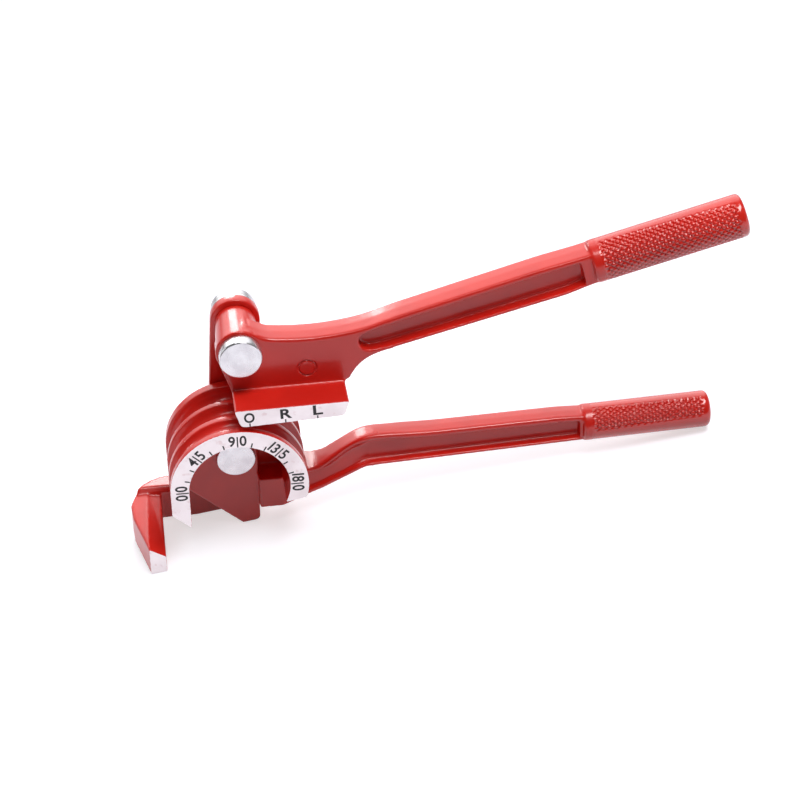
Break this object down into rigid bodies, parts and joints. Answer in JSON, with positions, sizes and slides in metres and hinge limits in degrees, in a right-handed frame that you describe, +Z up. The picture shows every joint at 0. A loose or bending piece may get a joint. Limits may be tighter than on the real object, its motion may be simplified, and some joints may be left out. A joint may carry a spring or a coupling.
{
  "type": "tube bender",
  "caption": "Hand lever tube bender with a grooved 180 degree dial die, a tube hook, a swinging link and a forming shoe on a lever with knurled grips.",
  "frame": {"origin": "centre of the flat foot under the hub, on the bench", "axes": "+X along the handles to the grip ends, +Y from the dial to the back, +Z up from the bench"},
  "size_m": [0.2838, 0.0514, 0.1156],
  "materials": {
    "red_enamel": "gloss red enamel on cast metal",
    "bare_metal": "ground flat, unpainted",
    "pin_steel": "bright, turned"
  },
  "bodies": {
    "die_and_handle": {"dial_face": "bare_metal", "die_rim": "red_enamel", "die_hub": "red_enamel", "hook_bar": "red_enamel", "hook_finger": "red_enamel", "hook_tip": "bare_metal", "lower_neck": "red_enamel", "lower_beam": "red_enamel", "lower_grip": "red_enamel", "die_pin": "pin_steel", "die_pin_washer": "pin_steel", "die_pin_cap": "pin_steel"},
    "link": {"link_bar": "red_enamel", "lever_pin": "pin_steel", "lever_pin_washer": "pin_steel", "lever_pin_cap": "pin_steel"},
    "lever": {"index_strip": "bare_metal", "forming_shoe": "red_enamel", "lever_web": "red_enamel", "lever_beam": "red_enamel", "lever_grip": "red_enamel"}
  },
  "joints": [
    {"name": "link_swing", "type": "hinge", "parent": "die_and_handle", "child": "link", "pos_m": [0.00076, 0.0134, 0.0361], "axis": [0, -1, 0], "range_deg": [-15, 100]},
    {"name": "lever_turn", "type": "hinge", "parent": "link", "child": "lever", "pos_m": [0.01325, -0.0014, 0.09387], "axis": [0, -1, 0], "range_deg": [-4, 90]}
  ]
}
